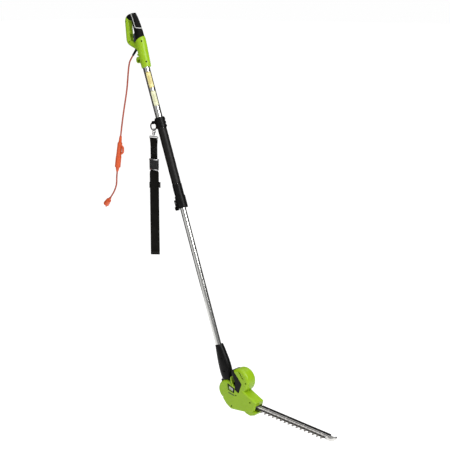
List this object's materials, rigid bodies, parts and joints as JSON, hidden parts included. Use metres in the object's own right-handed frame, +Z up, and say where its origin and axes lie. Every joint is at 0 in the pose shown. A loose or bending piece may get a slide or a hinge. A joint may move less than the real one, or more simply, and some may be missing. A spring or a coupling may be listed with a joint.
{
  "type": "pole hedge trimmer",
  "caption": "Corded telescopic pole hedge trimmer with a D-handle, foam grip, shoulder strap, angled motor head and reciprocating blades toothed along one side.",
  "frame": {"origin": "middle of the rear grip, where the hand holds the trimmer up", "axes": "+Z up; the trimmer's profile lies in the XZ plane, blades towards +X, D-loop on the -X side; Y is across the handle, neck and blades"},
  "size_m": [1.2993, 0.0686, 1.6211],
  "materials": {
    "lime_plastic": "moulded casing",
    "black_plastic": "moulded",
    "soft_grip": "overmoulded skin",
    "piping": "pale piping",
    "silver_tube": "anodised",
    "foam": "foamed grip",
    "blade_steel": "oxidised and ground",
    "bright_steel": "plain",
    "copper_core": "wound core",
    "webbing": "woven nylon",
    "orange_plastic": "moulded",
    "orange_cord": "cable sheath",
    "grey_plastic": "moulded",
    "trigger_plastic": "moulded"
  },
  "bodies": {
    "handle": {"handle_shell_near": "lime_plastic", "handle_shell_far": "lime_plastic", "handle_screws": "bright_steel", "grip_overmould": "soft_grip", "grip_piping": "piping", "trigger_spring": "bright_steel", "switch_box": "black_plastic", "terminal_block": "grey_plastic", "strain_relief": "soft_grip", "cord_hook": "lime_plastic", "upper_tube": "silver_tube", "foam_grip": "foam", "strap_collar": "black_plastic", "collar_screw": "bright_steel", "clamp_sleeve": "black_plastic", "clamp_block": "black_plastic", "clamp_pin": "bright_steel", "guide_bush": "grey_plastic", "coiled_cable": "soft_grip", "lead_cord": "orange_cord", "coupler_plug": "orange_plastic", "coupler_socket": "orange_plastic", "tail_cord": "orange_cord", "supply_plug": "orange_plastic"},
    "trigger": {"trigger": "trigger_plastic"},
    "lock_button": {"lock_button": "black_plastic"},
    "clamp_lever": {"clamp_lever": "black_plastic"},
    "lower_pole": {"lower_tube": "silver_tube", "lower_cable": "soft_grip", "neck_shell_near": "black_plastic", "neck_shell_far": "black_plastic", "neck_screws": "bright_steel", "detent_disc": "bright_steel"},
    "head": {"head_shell_near": "lime_plastic", "head_shell_far": "lime_plastic", "head_screws": "bright_steel", "tilt_pin": "bright_steel", "tilt_windows": "grey_plastic", "motor_can": "bright_steel", "motor_bearings": "bright_steel", "gear_plate": "silver_tube", "support_bar": "bright_steel", "blade_bolts": "blade_steel", "tip_guard": "bright_steel"},
    "tilt_lever": {"tilt_lever": "black_plastic"},
    "rotor": {"armature": "copper_core", "cooling_fan": "black_plastic", "pinion": "bright_steel"},
    "drive_gear": {"drive_gear": "bright_steel"},
    "blade_upper": {"blade_upper": "blade_steel"},
    "blade_lower": {"blade_lower": "blade_steel"},
    "carry_ring": {"carry_ring": "black_plastic"},
    "snap_hook": {"snap_hook": "bright_steel"},
    "hook_gate": {"hook_gate": "bright_steel"},
    "swivel_loop": {"swivel_loop": "bright_steel"},
    "strap_top": {"upper_webbing": "webbing", "buckle_socket": "black_plastic"},
    "strap_loop": {"buckle_plug": "black_plastic", "lower_webbing": "webbing"},
    "strap_slider": {"strap_slider": "black_plastic"}
  },
  "joints": [
    {"name": "trigger_pull", "type": "hinge", "parent": "handle", "child": "trigger", "pos_m": [-0.00372, 0, -0.02567], "axis": [0, -1, 0], "range_deg": [0, 7], "stiffness_Nm_per_rad": 0.3, "springref_deg": -17.19, "deforming": ["trigger_spring"]},
    {"name": "lock_press", "type": "slide", "parent": "handle", "child": "lock_button", "axis": [0, -1, 0], "range_m": [0, 0.003], "stiffness_N_per_m": 600, "springref_m": -0.002},
    {"name": "clamp_open", "type": "hinge", "parent": "handle", "child": "clamp_lever", "pos_m": [0.21636, 0, -0.72525], "axis": [0, 1, 0], "range_deg": [0, 110]},
    {"name": "telescope", "type": "slide", "parent": "handle", "child": "lower_pole", "axis": [-0.3305, 0, 0.9438], "range_m": [0, 0.48], "deforming": ["coiled_cable"]},
    {"name": "head_tilt", "type": "hinge", "parent": "lower_pole", "child": "head", "pos_m": [0.50744, 0, -1.47625], "axis": [0, 1, 0], "range_deg": [0, 65]},
    {"name": "lever_squeeze", "type": "hinge", "parent": "head", "child": "tilt_lever", "pos_m": [0.56863, 0, -1.46728], "axis": [0, -1, 0], "range_deg": [0, 5], "stiffness_Nm_per_rad": 1, "springref_deg": -8.59},
    {"name": "motor_spin", "type": "hinge", "parent": "head", "child": "rotor", "pos_m": [0.58007, 0, -1.43325], "axis": [0.0993, 0, 0.9951], "continuous": true},
    {"name": "gear_spin", "type": "hinge", "parent": "head", "child": "drive_gear", "pos_m": [0.60376, 0, -1.48586], "axis": [0.0993, 0, 0.9951], "continuous": true},
    {"name": "upper_blade_stroke", "type": "slide", "parent": "head", "child": "blade_upper", "axis": [0.9951, 0, -0.0993], "range_m": [-0.008, 0.008]},
    {"name": "lower_blade_stroke", "type": "slide", "parent": "head", "child": "blade_lower", "axis": [0.9951, 0, -0.0993], "range_m": [-0.008, 0.008]},
    {"name": "ring_swing", "type": "hinge", "parent": "handle", "child": "carry_ring", "pos_m": [0.08749, 0, -0.39678], "axis": [1, 0, 0], "range_deg": [-40, 40]},
    {"name": "hook_swing", "type": "hinge", "parent": "carry_ring", "child": "snap_hook", "pos_m": [0.08749, 0, -0.42918], "axis": [1, 0, 0], "range_deg": [-12, 12]},
    {"name": "gate_open", "type": "hinge", "parent": "snap_hook", "child": "hook_gate", "pos_m": [0.08749, 0.009, -0.43518], "axis": [1, 0, 0], "range_deg": [0, 25], "stiffness_Nm_per_rad": 0.02, "springref_deg": -17.19},
    {"name": "hook_swivel", "type": "hinge", "parent": "snap_hook", "child": "swivel_loop", "pos_m": [0.08749, 0, -0.44918], "axis": [0, 0, 1], "continuous": true},
    {"name": "strap_swing", "type": "hinge", "parent": "swivel_loop", "child": "strap_top", "pos_m": [0.08749, 0, -0.46518], "axis": [1, 0, 0], "range_deg": [-30, 30]},
    {"name": "buckle_release", "type": "slide", "parent": "strap_top", "child": "strap_loop", "axis": [0, 0, -1], "range_m": [0, 0.03]},
    {"name": "slider_move", "type": "slide", "parent": "strap_loop", "child": "strap_slider", "axis": [0, 0, 1], "range_m": [-0.2, 0.04]}
  ],
  "couplings": [
    {"joint": "gear_spin", "follows": "motor_spin", "ratio": -0.33333},
    {"joint": "lower_blade_stroke", "follows": "upper_blade_stroke", "ratio": -1}
  ]
}
